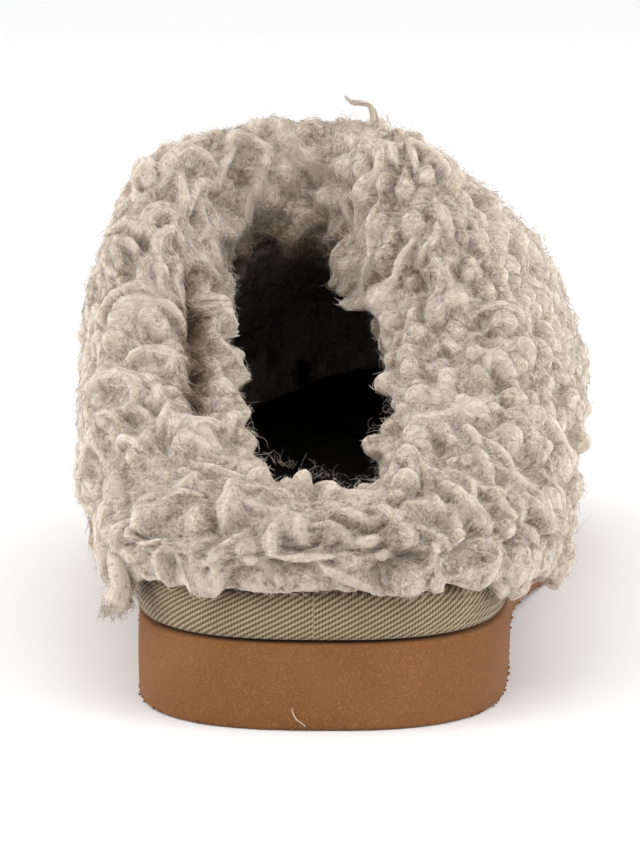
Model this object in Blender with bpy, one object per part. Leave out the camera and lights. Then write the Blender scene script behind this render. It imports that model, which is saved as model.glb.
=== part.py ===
"""Sheepskin slipper for the left foot: a low-backed clog with curly fleece outside and inside.

It is built as it is made: a thick foam outsole, a twill binding tape round the deck of the
sole, a fleece insole, and one hollow upper. The upper's hide is tucked between tape and insole,
and its wall has the full depth of the fleece on both faces.
Metres, +Z up, toe towards +Y, inner side of the foot towards +X. The origin is on the floor,
under the middle of the slipper's box.
"""

import math

import bpy
import numpy as np

# Driving sizes
LENGTH = 0.262
HEEL_WIDTH = 0.073
WAIST_WIDTH = 0.079
BALL_WIDTH = 0.097
TOE_WIDTH = 0.080
INSTEP_HEIGHT = 0.103
HEEL_HEIGHT = 0.039
GAP = 0.0003

# Outsole
SOLE_AT_HEEL = 0.017
SOLE_AT_BALL = 0.015
TOE_SPRING = 0.007
ARCH_RELIEF = 0.002
SOLE_EDGE = 0.0012

# Binding tape
TAPE_HEIGHT = 0.0095
TAPE_THICK = 0.0030
TAPE_CROWN = 0.0012

# Insole
INSOLE_THICK = 0.0100
INSOLE_ROUND = 0.0030

# Upper: the hide, with the fleece on each face
HIDE = 0.0022
FLEECE_OUT = 0.0130
FLEECE_IN = 0.0090
WALL = FLEECE_OUT + HIDE + FLEECE_IN
RIM_ROUND = 0.66

# Round of the two ends of the outline: share of the length, and exponent of the superellipse
HEEL_ROUND = (0.165, 2.6)
TOE_ROUND = (0.300, 2.3)

# Steps of the meshes
STATIONS = 40
PROFILE_STEPS = 10
INNER_STEPS = 8
RIM_STEPS = 7
UNDER_STEPS = 4

# Outline of the sole, in sections along the foot
OUTLINE_COLUMNS = ("along", "centre", "half_width")
OUTLINE = (
    (0.00, 0.0000, HEEL_WIDTH / 2 - 0.0010),
    (0.17, 0.0000, HEEL_WIDTH / 2),
    (0.42, -0.0022, WAIST_WIDTH / 2),
    (0.69, -0.0008, BALL_WIDTH / 2),
    (0.86, 0.0024, BALL_WIDTH / 2 - 0.0025),
    (1.00, 0.0060, TOE_WIDTH / 2),
)

# Heights of the sole, in sections along the foot: underside above the floor, and deck
SOLE_COLUMNS = ("along", "under", "deck")
SOLE = (
    (0.00, 0.0000, SOLE_AT_HEEL),
    (0.28, 0.0000, SOLE_AT_HEEL),
    (0.36, ARCH_RELIEF * 0.6, SOLE_AT_HEEL - 0.0002),
    (0.44, ARCH_RELIEF, SOLE_AT_HEEL - 0.0006),
    (0.52, ARCH_RELIEF * 0.6, SOLE_AT_BALL + 0.0007),
    (0.60, 0.0000, SOLE_AT_BALL),
    (0.80, 0.0000, SOLE_AT_BALL),
    (0.90, TOE_SPRING * 0.28, SOLE_AT_BALL + TOE_SPRING * 0.28),
    (1.00, TOE_SPRING, SOLE_AT_BALL + TOE_SPRING),
)

# Upper, in sections along the foot: how far the fleece stands out past the sole on the inner
# and the outer side of the foot, how high above the deck it is widest, and how late its wall
# leans in (2 is a round shoulder)
UPPER_COLUMNS = ("along", "inner_side", "outer_side", "widest", "shoulder")
UPPER = (
    (0.00, 0.0090, 0.0090, 0.0175, 2.2),
    (0.15, 0.0090, 0.0105, 0.0190, 2.2),
    (0.30, 0.0100, 0.0130, 0.0230, 2.4),
    (0.45, 0.0090, 0.0130, 0.0240, 2.3),
    (0.69, 0.0070, 0.0085, 0.0230, 2.0),
    (0.86, 0.0075, 0.0080, 0.0210, 1.9),
    (1.00, 0.0080, 0.0080, 0.0180, 1.7),
)

# Collar: its outer and inner edge, as half width, and ends measured along the foot
COLLAR_WAIST = 0.245
COLLAR_OUTER = {"half_width": 0.0450, "back": -0.0230, "front": 0.520}
COLLAR_INNER = {"half_width": 0.0180, "back": 0.0800, "front": 0.520}
COLLAR_SQUARE = 2.2
# The throat's inner edge is lower than its outer one, whose climb has a crown at its middle,
# and the collar leans from the inner side of the foot at the heel to the outer side at the throat
COLLAR_DROP = 0.0260
COLLAR_CROWN = 0.42
COLLAR_LEAN = (0.0030, -0.0090)


def interpolate(rows, columns, column, along):
    """One column of a table of sections at a share of the length, on a smooth curve through them.

    The slope at a section is the harmonic mean of those beside it, or level where they turn, so
    the curve never passes its sections' highest and lowest values, and a flat stretch is flat.
    """
    data = np.array(rows, float)
    s, v = data[:, 0], data[:, columns.index(column)]
    rise = np.diff(v) / np.diff(s)
    slope = np.concatenate([rise[:1], np.zeros(len(s) - 2), rise[-1:]])
    for k in range(1, len(s) - 1):
        if rise[k - 1] * rise[k] > 0:
            slope[k] = 2 * rise[k - 1] * rise[k] / (rise[k - 1] + rise[k])
    k = int(np.clip(np.searchsorted(s, along) - 1, 0, len(s) - 2))
    span = s[k + 1] - s[k]
    t = (np.clip(along, s[0], s[-1]) - s[k]) / span
    start = (2 * t**3 - 3 * t**2 + 1) * v[k] + (t**3 - 2 * t**2 + t) * span * slope[k]
    end = (3 * t**2 - 2 * t**3) * v[k + 1] + (t**3 - t**2) * span * slope[k + 1]
    return float(start + end)


def end_round(distance, reach, exponent):
    """Share of the full width at a distance from a rounded end."""
    inside = max(0.0, 1 - distance / reach)
    return (1 - inside**exponent) ** (1 / exponent)


def outline_side(along, side):
    """Point of the sole's outline at a share of the length, on side +1 (inner) or -1 (outer)."""
    width = interpolate(OUTLINE, OUTLINE_COLUMNS, "half_width", along)
    width *= end_round(along, *HEEL_ROUND) * end_round(1 - along, *TOE_ROUND)
    x = interpolate(OUTLINE, OUTLINE_COLUMNS, "centre", along) + side * width
    return (x, (along - 0.5) * LENGTH)


def outline_ring():
    """Outline of the sole from heel to toe on the inner side and back on the outer one.

    Returns the points, their outward normals, each one's share of the length, and its side.
    """
    along = [(1 - math.cos(math.pi * k / STATIONS)) / 2 for k in range(STATIONS + 1)]
    inner = [(outline_side(s, 1), s) for s in along]
    outer = [(outline_side(s, -1), s) for s in reversed(along[1:-1])]
    points = np.array([p for p, _ in inner + outer])
    ahead = np.roll(points, -1, axis=0) - np.roll(points, 1, axis=0)
    normals = np.stack([ahead[:, 1], -ahead[:, 0]], axis=1)
    normals /= np.linalg.norm(normals, axis=1)[:, None]
    sides = np.array([1] * len(inner) + [-1] * len(outer))
    return points, normals, np.array([s for _, s in inner + outer]), sides


RING, NORMALS, ALONG, SIDES = outline_ring()
COUNT = len(RING)


def per_point(rows, columns, column):
    """A column of a table of sections, at each point of the ring."""
    return np.array([interpolate(rows, columns, column, s) for s in ALONG])


DECK = per_point(SOLE, SOLE_COLUMNS, "deck")
UNDERSIDE = per_point(SOLE, SOLE_COLUMNS, "under")


def ring_at(offset, height):
    """The outline moved outwards by an offset, at a height. Each is one number, or one per point."""
    plan = RING + NORMALS * np.broadcast_to(offset, (COUNT,))[:, None]
    return np.column_stack([plan, np.broadcast_to(height, (COUNT,))])


def collar_angles():
    """Where on the collar each rib of the upper ends.

    It is the mean of the rib's direction from the collar's middle and its share of the way
    round the sole, which spreads the ribs of the vamp over the throat.
    """
    middle = np.array([0.0, (COLLAR_WAIST - 0.5) * LENGTH])
    seen = np.unwrap(np.arctan2(*(RING - middle).T[::-1]))
    seen = seen - seen[0] - math.pi / 2
    steps = np.linalg.norm(np.roll(RING, -1, axis=0) - RING, axis=1)
    walked = np.concatenate([[0], np.cumsum(steps)[:-1]]) / steps.sum()
    return (seen + walked * 2 * math.pi - math.pi / 2) / 2


def collar_ring(edge, height_at_heel, height_at_throat, crown):
    """One edge of the collar: an oval from the heel up to the throat, one point for each rib."""
    middle = (COLLAR_WAIST - 0.5) * LENGTH
    back = middle - (edge["back"] - 0.5) * LENGTH
    front = (edge["front"] - 0.5) * LENGTH - middle
    angle = collar_angles()
    c, s = np.cos(angle), np.sin(angle)
    reach = np.where(s > 0, front, back)
    square = np.abs(c / edge["half_width"]) ** COLLAR_SQUARE + np.abs(s / reach) ** COLLAR_SQUARE
    radius = square ** (-1 / COLLAR_SQUARE)
    x, y = radius * c, middle + radius * s
    climb = (y - y.min()) / (y.max() - y.min())
    climb = (np.sin(climb * math.pi / 2) + climb**2 * (3 - 2 * climb)) / 2
    x = x + COLLAR_LEAN[0] + (COLLAR_LEAN[1] - COLLAR_LEAN[0]) * climb
    climb = climb + crown * (climb**6 - climb)
    return np.column_stack([x, y, height_at_heel + (height_at_throat - height_at_heel) * climb])


def wall_rings(offset, collar, steps):
    """Rings of one face of the upper, from its widest line up to an edge of the collar."""
    widest = DECK + per_point(UPPER, UPPER_COLUMNS, "widest")
    shoulder = per_point(UPPER, UPPER_COLUMNS, "shoulder")
    foot = ring_at(offset, np.minimum(widest, collar[:, 2] - GAP))
    rings = []
    for k in range(steps + 1):
        t = k / steps
        lean = (t**shoulder)[:, None]
        plan = foot[:, :2] + (collar[:, :2] - foot[:, :2]) * lean
        rings.append(np.column_stack([plan, foot[:, 2] + (collar[:, 2] - foot[:, 2]) * t]))
    return rings


def rim_rings(outer, inner):
    """Rings of the rounded rim between the last rings of the outer and inner face."""
    start, end = outer[-1], inner[-1]
    chord = end - start
    width = np.linalg.norm(chord, axis=1)[:, None]
    chord = chord / width
    up = (start - outer[-2]) + (end - inner[-2])
    up -= chord * (up * chord).sum(axis=1)[:, None]
    up /= np.linalg.norm(up, axis=1)[:, None]
    rings = []
    for k in range(1, RIM_STEPS):
        turn = math.pi * k / RIM_STEPS
        across = chord * width * (1 - math.cos(turn)) / 2
        rings.append(start + across + up * width / 2 * RIM_ROUND * math.sin(turn))
    return rings


def under_rings(inside, outside, low, high):
    """Rings of the rounded underside of the fleece, from the tape out to its widest line."""
    rings = []
    for k in range(UNDER_STEPS):
        turn = math.pi / 2 * k / UNDER_STEPS
        offset = inside + (outside - inside) * math.sin(turn)
        rings.append(ring_at(offset, high - (high - low) * math.cos(turn)))
    return rings


def upper_rings():
    """Rings round the section of the upper's wall, starting at the foot of the tucked hide."""
    overhang = np.where(
        SIDES > 0,
        per_point(UPPER, UPPER_COLUMNS, "inner_side"),
        per_point(UPPER, UPPER_COLUMNS, "outer_side"),
    )
    tuck_out = -TAPE_THICK - GAP
    tuck_in = tuck_out - HIDE
    foot = DECK + GAP
    over_tape = DECK + GAP + TAPE_HEIGHT + GAP
    over_insole = DECK + GAP + INSOLE_THICK + GAP
    outer_edge = collar_ring(COLLAR_OUTER, HEEL_HEIGHT, INSTEP_HEIGHT, COLLAR_CROWN)
    inner_edge = collar_ring(COLLAR_INNER, HEEL_HEIGHT, INSTEP_HEIGHT - COLLAR_DROP, 0.0)
    outer = wall_rings(overhang, outer_edge, PROFILE_STEPS)
    inner = wall_rings(overhang - WALL, inner_edge, INNER_STEPS)
    rings = [ring_at(tuck_out, foot), ring_at(tuck_out, over_tape)]
    rings += under_rings(-GAP, overhang, over_tape, outer[0][:, 2])
    rings += outer + rim_rings(outer, inner) + inner[::-1]
    rings += [ring_at(overhang - WALL, over_insole), ring_at(tuck_in, over_insole)]
    rings.append(ring_at(tuck_in, foot))
    return rings


def tape_rings():
    """Rings round the section of the tape, whose outer face is a shallow crown."""
    low, high = DECK + GAP, DECK + GAP + TAPE_HEIGHT
    rings = [ring_at(-TAPE_THICK, low)]
    for share in (0.0, 0.2, 0.5, 0.8, 1.0):
        bow = TAPE_CROWN * (4 * share * (1 - share)) - TAPE_CROWN / 2
        rings.append(ring_at(bow, low + (high - low) * share))
    rings.append(ring_at(-TAPE_THICK, high))
    return rings


def sole_rings():
    """Rings of the outsole from its underside up to its deck."""
    return [
        ring_at(-SOLE_EDGE, UNDERSIDE),
        ring_at(0.0, UNDERSIDE + SOLE_EDGE),
        ring_at(0.0, DECK - SOLE_EDGE / 2),
        ring_at(-SOLE_EDGE / 2, DECK),
    ]


def insole_rings():
    """Rings of the fleece insole from its underside up to its rounded top."""
    edge = -TAPE_THICK - GAP - HIDE - GAP
    low, high = DECK + GAP, DECK + GAP + INSOLE_THICK
    return [
        ring_at(edge, low),
        ring_at(edge, high - INSOLE_ROUND),
        ring_at(edge - INSOLE_ROUND * 0.3, high - INSOLE_ROUND * 0.3),
        ring_at(edge - INSOLE_ROUND, high),
    ]


def material(name, colour, roughness):
    """A plain material with the colour and roughness of a piece."""
    made = bpy.data.materials.new(name)
    made.use_nodes = True
    shader = made.node_tree.nodes["Principled BSDF"]
    shader.inputs["Base Color"].default_value = (*colour, 1)
    shader.inputs["Roughness"].default_value = roughness
    return made


def ladder(first, flip):
    """Faces across a ring, between each point of the inner side and its match on the outer one."""
    faces = []
    for k in range(1, COUNT // 2 + 1):
        near, far = (first + k - 1, first + k), (first + COUNT - k, first + (COUNT - k + 1) % COUNT)
        corners = list(dict.fromkeys([*near, *far]))
        faces.append(corners[::-1] if flip else corners)
    return faces


def piece(name, rings, finish, closed_section):
    """A mesh object from rings of points: a closed wall, or a stack with its two ends filled."""
    faces = []
    for r in range(len(rings) if closed_section else len(rings) - 1):
        here, above = r * COUNT, (r + 1) % len(rings) * COUNT
        for k in range(COUNT):
            n = (k + 1) % COUNT
            faces.append([here + k, here + n, above + n, above + k])
    if not closed_section:
        faces += ladder(0, flip=True) + ladder((len(rings) - 1) * COUNT, flip=False)
    mesh = bpy.data.meshes.new(name)
    mesh.from_pydata([tuple(p) for p in np.concatenate(rings)], [], faces)
    mesh.materials.append(finish)
    mesh.shade_smooth()
    mesh.set_sharp_from_angle(angle=math.radians(40))
    made = bpy.data.objects.new(name, mesh)
    bpy.context.scene.collection.objects.link(made)
    return made


def main():
    for old in list(bpy.data.objects):
        bpy.data.objects.remove(old)
    fleece = material("curly_fleece", (0.50, 0.43, 0.36), 0.95)
    foam = material("tan_foam", (0.36, 0.17, 0.07), 0.85)
    twill = material("khaki_twill", (0.26, 0.19, 0.12), 0.90)
    pile = material("insole_fleece", (0.42, 0.36, 0.30), 0.95)
    upper = upper_rings()
    pieces = [
        piece("outsole", sole_rings(), foam, closed_section=False),
        piece("binding_tape", tape_rings(), twill, closed_section=True),
        piece("insole", insole_rings(), pile, closed_section=False),
        piece("upper", upper, fleece, closed_section=True),
    ]
    box = np.concatenate(upper)
    middle = (box.min(axis=0) + box.max(axis=0)) / 2
    frame = bpy.data.objects.new("slipper", None)
    bpy.context.scene.collection.objects.link(frame)
    frame.location = (-middle[0], -middle[1], 0)
    for part in pieces:
        part.parent = frame


main()
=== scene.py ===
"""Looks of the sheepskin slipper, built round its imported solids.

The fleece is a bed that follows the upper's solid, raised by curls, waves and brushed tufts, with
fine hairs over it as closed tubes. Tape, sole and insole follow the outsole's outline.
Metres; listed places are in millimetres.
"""

import math

import bpy
import numpy as np
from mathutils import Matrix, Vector
from mathutils.bvhtree import BVHTree
from mathutils.kdtree import KDTree


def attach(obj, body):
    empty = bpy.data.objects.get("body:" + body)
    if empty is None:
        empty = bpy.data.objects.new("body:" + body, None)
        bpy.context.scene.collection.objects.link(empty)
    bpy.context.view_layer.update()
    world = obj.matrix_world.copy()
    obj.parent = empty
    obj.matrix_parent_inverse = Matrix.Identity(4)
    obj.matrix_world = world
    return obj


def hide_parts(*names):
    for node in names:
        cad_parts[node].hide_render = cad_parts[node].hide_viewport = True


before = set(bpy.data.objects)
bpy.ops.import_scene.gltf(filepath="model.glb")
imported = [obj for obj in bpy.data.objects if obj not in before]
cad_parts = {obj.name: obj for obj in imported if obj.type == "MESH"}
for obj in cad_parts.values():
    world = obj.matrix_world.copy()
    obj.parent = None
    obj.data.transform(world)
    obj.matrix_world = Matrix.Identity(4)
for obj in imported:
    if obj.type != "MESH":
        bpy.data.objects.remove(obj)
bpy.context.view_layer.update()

MM = 0.001
RANDOM = np.random.default_rng(11)

# Camera: the photograph looks at the heel from a little above and from the foot's inner side
AZIMUTH = 2.5
ELEVATION = 9.2
DISTANCE = 1.10
LENS = 238
AIM = (0.0015, -0.1000, 0.0545)

# Sole and tape
TAPE_HEIGHT = 9.5 * MM
RIB_PITCH = 0.93 * MM
RIB_DEPTH = 0.13 * MM
RIB_SLOPE = math.radians(28)

# Fleece
BED_DEPTH = 2.6 * MM
BED_EDGE = 1.15 * MM
BED_SPLIT = -35 * MM
TUFT_SPACING = 13.0 * MM
TUFT_RELIEF = 2.3 * MM
LOCK_SPACING = 4.6 * MM
OUTER_TRIM = 1.8 * MM
LOWEST_GROUND = -5.6 * MM
DROOP = 2.4 * MM
KNOB_STAND = 2.4 * MM
MAP_WIDTH = 0.12
BEHIND = np.array([0.0, -0.95, 0.30])
HAIR_KINDS = (
    # Tries, steps, length, lift and thickness in mm, how far it strays from its lock, and its curl
    (54000, 5, (2.5, 6.0), (0.1, 0.8), (0.060, 0.100), 0.35, 0.9),
    (42000, 4, (1.5, 3.2), (0.2, 1.0), (0.050, 0.085), 0.60, 1.2),
    (9000, 7, (4.0, 9.0), (0.8, 3.0), (0.030, 0.050), 0.80, 2.2),
)

# Insole
INSOLE_INSET = 6.1 * MM
INSOLE_THICK = 10.0 * MM

# Colours of the fleece, from near-black painted shade through the root's brown to the tips, and the tint of
# its warmer locks
FLEECE_COLOURS = {
    "painted_shade": (0.004, 0.003, 0.002),
    "root": (0.205, 0.148, 0.103),
    "body": (0.578, 0.511, 0.441),
    "tip": (0.668, 0.606, 0.536),
    "warm": (0.93, 0.90, 0.87),
}
# Colours of the footbed, from near-black painted shade to the tips
INSOLE_COLOURS = {
    "painted_shade": (0.008, 0.006, 0.004),
    "root": (0.200, 0.150, 0.110),
    "body": (0.450, 0.385, 0.320),
    "tip": (0.600, 0.530, 0.460),
    "warm": (0.90, 0.86, 0.82),
}

# Lamps: name, place, size and power
LAMPS = (
    ("left_box", (-1.3, -0.4, 0.3), 1.0, 11),
    ("right_box", (1.3, -0.4, 0.3), 1.0, 10),
    ("top_box", (0.0, -1.0, 1.2), 1.8, 9.5),
)


# Numbers over points

def hashed(cells, seed):
    """A random number from -1 to 1 for each whole-number cell."""
    h = cells[..., 0] * 73856093 ^ cells[..., 1] * 19349663 ^ cells[..., 2] * 83492791 ^ seed * 2654435761
    h = (h ^ (h >> 13)) * 1274126177 & 0xFFFFFFFF
    h = (h ^ (h >> 16)) * 2246822519 & 0xFFFFFFFF
    return ((h ^ (h >> 15)) & 0xFFFFFF) / 0x7FFFFF - 1.0


def noise(points, size, seed):
    """Smooth noise from -1 to 1 at points, with lumps of a size."""
    p = np.asarray(points) / size
    cell = np.floor(p).astype(np.int64)
    f = p - cell
    f = f * f * f * (f * (f * 6 - 15) + 10)
    total = np.zeros(len(p))
    for corner in np.ndindex(2, 2, 2):
        c = np.array(corner)
        weight = np.prod(np.where(c, f, 1 - f), axis=1)
        total += weight * hashed(cell + c, seed)
    return total


def unit(v):
    return v / np.maximum(np.linalg.norm(v, axis=-1, keepdims=True), 1e-12)


def smooth_step(low, high, x):
    t = np.clip((x - low) / (high - low), 0, 1)
    return t * t * (3 - 2 * t)


def across(v, direction):
    """The part of v that is square to a unit direction, with length 1."""
    return unit(v - direction * (v * direction).sum(axis=-1, keepdims=True))


# Meshes

def mesh_object(name, points, faces, uv=None, maps=()):
    """A smooth mesh object. faces is a list of whole-number arrays, one per face size.

    uv holds, for each of those arrays, the map's places at each face corner. maps are more such
    maps, as (name, uv) pairs.
    """
    mesh = bpy.data.meshes.new(name)
    corners = np.concatenate([f.ravel() for f in faces])
    sizes = np.concatenate([np.full(len(f), f.shape[1]) for f in faces])
    mesh.vertices.add(len(points))
    mesh.vertices.foreach_set("co", np.asarray(points, np.float32).ravel())
    mesh.loops.add(len(corners))
    mesh.loops.foreach_set("vertex_index", corners.astype(np.int32))
    mesh.polygons.add(len(sizes))
    mesh.polygons.foreach_set("loop_start", np.concatenate([[0], np.cumsum(sizes)[:-1]]).astype(np.int32))
    mesh.polygons.foreach_set("use_smooth", np.ones(len(sizes), bool))
    for map_name, places in ([("OFBake", uv)] if uv is not None else []) + list(maps):
        layer = mesh.uv_layers.new(name=map_name)
        flat = np.concatenate([p.reshape(-1, 2) for p in places])
        layer.data.foreach_set("uv", flat.astype(np.float32).ravel())
    mesh.update()
    mesh.validate()
    made = bpy.data.objects.new(name, mesh)
    bpy.context.scene.collection.objects.link(made)
    return made


def ring_faces(rings, count, closed):
    """Quads between rings of points, joined round, and from the last ring to the first if closed."""
    r, k = np.meshgrid(np.arange(rings if closed else rings - 1), np.arange(count), indexing="ij")
    up, n = (r + 1) % rings, (k + 1) % count
    return np.stack([r * count + k, r * count + n, up * count + n, up * count + k], axis=-1).reshape(-1, 4)


def ladder_faces(first, count, flip):
    """Quads across a ring with an even number of points, that starts at one end of its length."""
    k = np.arange(1, count // 2 - 1)
    quads = np.stack([k, k + 1, count - k - 1, count - k], axis=-1) + first
    ends = np.array([[0, 1, count - 1], [count // 2 - 1, count // 2, count // 2 + 1]]) + first
    return (quads[:, ::-1], ends[:, ::-1]) if flip else (quads, ends)


def path_frames(paths):
    """Two directions square to each path at each step, which turn as little as they can."""
    forward = unit(np.gradient(paths, axis=1))
    side = np.empty_like(paths)
    guess = np.where(np.abs(forward[:, 0, 2:]) < 0.8, [[0.0, 0.0, 1.0]], [[1.0, 0.0, 0.0]])
    for k in range(paths.shape[1]):
        guess = across(guess, forward[:, k])
        side[:, k] = guess
    return side, np.cross(forward, side)


def tubes(paths, radii, sides, tint, shade):
    """Closed tapering tubes: points, quads, caps and their map.

    paths are (tubes, steps, 3) and radii and shade (tubes, steps). In the map, u is the tube's
    tint with its way round, and v its shade.
    """
    count, steps, _ = paths.shape
    side, other = path_frames(paths)
    turn = 2 * math.pi * np.arange(sides) / sides
    ring = side[:, :, None] * np.cos(turn)[:, None] + other[:, :, None] * np.sin(turn)[:, None]
    points = paths[:, :, None] + ring * radii[:, :, None, None]

    tube, step, k = np.meshgrid(np.arange(count), np.arange(steps - 1), np.arange(sides), indexing="ij")
    n, base = (k + 1) % sides, (tube * steps + step) * sides
    quads = np.stack([base + k, base + n, base + sides + n, base + sides + k], axis=-1).reshape(-1, 4)
    u0 = tint[tube] + MAP_WIDTH * k / sides
    u1 = u0 + MAP_WIDTH / sides
    v0, v1 = shade[tube, step], shade[tube, step + 1]
    quad_map = np.stack([u0, v0, u1, v0, u1, v1, u0, v1], axis=-1).reshape(-1, 4, 2)

    t, k = np.meshgrid(np.arange(count), np.arange(sides), indexing="ij")
    start = t * steps * sides + k
    end = start + (steps - 1) * sides
    caps = np.concatenate([start[:, ::-1], end])
    spot = np.stack([np.cos(k / sides * 2 * math.pi), np.sin(k / sides * 2 * math.pi)], axis=-1)
    at = np.stack([tint + MAP_WIDTH / 2, np.clip(shade[:, -1], 0.02, 0.98)], axis=-1)[:, None]
    cap_map = np.concatenate([at + spot[:, ::-1] * 0.01, at + spot * 0.01])
    return points.reshape(-1, 3), quads, caps, quad_map, cap_map


def hair_object(name, groups):
    """One mesh of several groups of tubes, with one cap size per group."""
    points, faces, places, first = [], [], [], 0
    for made in groups:
        p, quads, caps, quad_map, cap_map = made
        points.append(p)
        faces += [quads + first, caps + first]
        places += [quad_map, cap_map]
        first += len(p)
    return mesh_object(name, np.concatenate(points), faces, places)


# Materials

def nodes_of(name, roughness, sheen=0.0, specular=0.3):
    """A new material with its Principled shader, and a function that adds and links nodes."""
    made = bpy.data.materials.new(name)
    made.use_nodes = True
    tree = made.node_tree
    shader = tree.nodes["Principled BSDF"]
    shader.inputs["Roughness"].default_value = roughness
    shader.inputs["Specular IOR Level"].default_value = specular
    shader.inputs["Sheen Weight"].default_value = sheen
    shader.inputs["Sheen Roughness"].default_value = 0.45

    def node(kind, links=None, **settings):
        new = tree.nodes.new(kind)
        for key, value in settings.items():
            setattr(new, key, value)
        for socket, source in (links or {}).items():
            if isinstance(source, bpy.types.NodeSocket):
                tree.links.new(source, new.inputs[socket])
            else:
                new.inputs[socket].default_value = source
        return new

    return made, shader, node, tree.links


def ramp(node, factor, stops):
    """A colour ramp from (place, colour) stops."""
    made = node("ShaderNodeValToRGB", {"Fac": factor})
    elements = made.color_ramp.elements
    while len(elements) < len(stops):
        elements.new(0.5)
    for element, (place, colour) in zip(elements, stops):
        element.position = place
        element.color = (*colour, 1)
    return made.outputs["Color"]


def fleece_material(name, painted_shade, root, body, tip, warm, bump, soft):
    """Fleece: brown at the root and pale at the tip, each lock its own tint, with fibre streaks. The map's v
    also carries painted shade, down to near black, and painted light.
    """
    made, shader, node, links = nodes_of(name, 0.92, sheen=0.04, specular=0.05)
    shader.inputs["Subsurface Weight"].default_value = soft
    shader.inputs["Subsurface Radius"].default_value = (1.0, 0.8, 0.65)
    shader.inputs["Subsurface Scale"].default_value = 3.2 * MM
    place = node("ShaderNodeUVMap", uv_map="OFBake").outputs["UV"]
    parts = node("ShaderNodeSeparateXYZ", {"Vector": place})
    fuzz = node("ShaderNodeTexNoise", {
        "Vector": node("ShaderNodeTexCoord").outputs["Object"],
        "Scale": 900.0, "Detail": 3.0, "Roughness": 0.6, "Distortion": 1.2,
    })
    speckle = node("ShaderNodeMapRange", {
        "Value": fuzz.outputs["Fac"], "From Min": 0.30, "From Max": 0.66, "To Min": 0.42, "To Max": 1.20,
    })
    depth = node("ShaderNodeMath", {
        0: parts.outputs["Y"], 1: speckle.outputs["Result"],
    }, operation="MULTIPLY")
    along = ramp(node, depth.outputs[0], [(0.0, painted_shade), (0.13, root), (0.44, body), (1.0, tip)])
    tint = node("ShaderNodeTexNoise", {"Vector": place, "Scale": 9.0, "Detail": 1.0}, noise_dimensions="2D")
    tinted = node("ShaderNodeMix", {
        "Factor": node("ShaderNodeMapRange", {
            "Value": tint.outputs["Fac"], "From Min": 0.35, "From Max": 0.70, "To Min": 0.0, "To Max": 0.55,
        }).outputs["Result"],
        "A": along, "B": (*warm, 1),
    }, data_type="RGBA", blend_type="MULTIPLY")
    drawn = node("ShaderNodeVectorMath", {0: place, 1: (95.0, 7.0, 1.0)}, operation="MULTIPLY")
    streaks = node("ShaderNodeTexNoise", {
        "Vector": drawn.outputs[0],
        "Scale": 1.0, "Detail": 4.0, "Roughness": 0.65,
    }, noise_dimensions="2D")
    lit = node("ShaderNodeMix", {
        "Factor": 1.0, "A": tinted.outputs["Result"],
        "B": ramp(node, streaks.outputs["Fac"], [(0.30, (0.68, 0.64, 0.60)), (0.64, (1.06, 1.06, 1.06))]),
    }, data_type="RGBA", blend_type="MULTIPLY").outputs["Result"]
    links.new(lit, shader.inputs["Base Color"])
    fine = node("ShaderNodeBump", {"Height": fuzz.outputs["Fac"], "Strength": 0.7, "Distance": bump})
    raised = node("ShaderNodeBump", {
        "Height": streaks.outputs["Fac"], "Strength": 0.9, "Distance": bump, "Normal": fine.outputs["Normal"],
    })
    links.new(raised.outputs["Normal"], shader.inputs["Normal"])
    return made


def foam_material():
    """Tan foam with a suede-like cut edge: fine speckle, faint clouds and a grainy surface."""
    made, shader, node, links = nodes_of("tan_foam", 0.88, sheen=0.04, specular=0.12)
    place = node("ShaderNodeTexCoord").outputs["Object"]
    grain = node("ShaderNodeTexNoise", {"Vector": place, "Scale": 2900.0, "Detail": 2.0})
    clouds = node("ShaderNodeTexNoise", {"Vector": place, "Scale": 60.0, "Detail": 3.0})
    base = ramp(node, clouds.outputs["Fac"], [(0.3, (0.179, 0.076, 0.027)), (0.7, (0.220, 0.094, 0.034))])
    speckled = node("ShaderNodeMix", {
        "Factor": 1.0, "A": base,
        "B": ramp(node, grain.outputs["Fac"], [
            (0.36, (0.86, 0.85, 0.84)), (0.56, (1.0, 1.0, 1.0)), (0.74, (1.5, 1.5, 1.5)),
        ]),
    }, data_type="RGBA", blend_type="MULTIPLY")
    links.new(speckled.outputs["Result"], shader.inputs["Base Color"])
    raised = node("ShaderNodeBump", {"Height": grain.outputs["Fac"], "Strength": 0.5, "Distance": 0.15 * MM})
    links.new(raised.outputs["Normal"], shader.inputs["Normal"])
    return made


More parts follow.
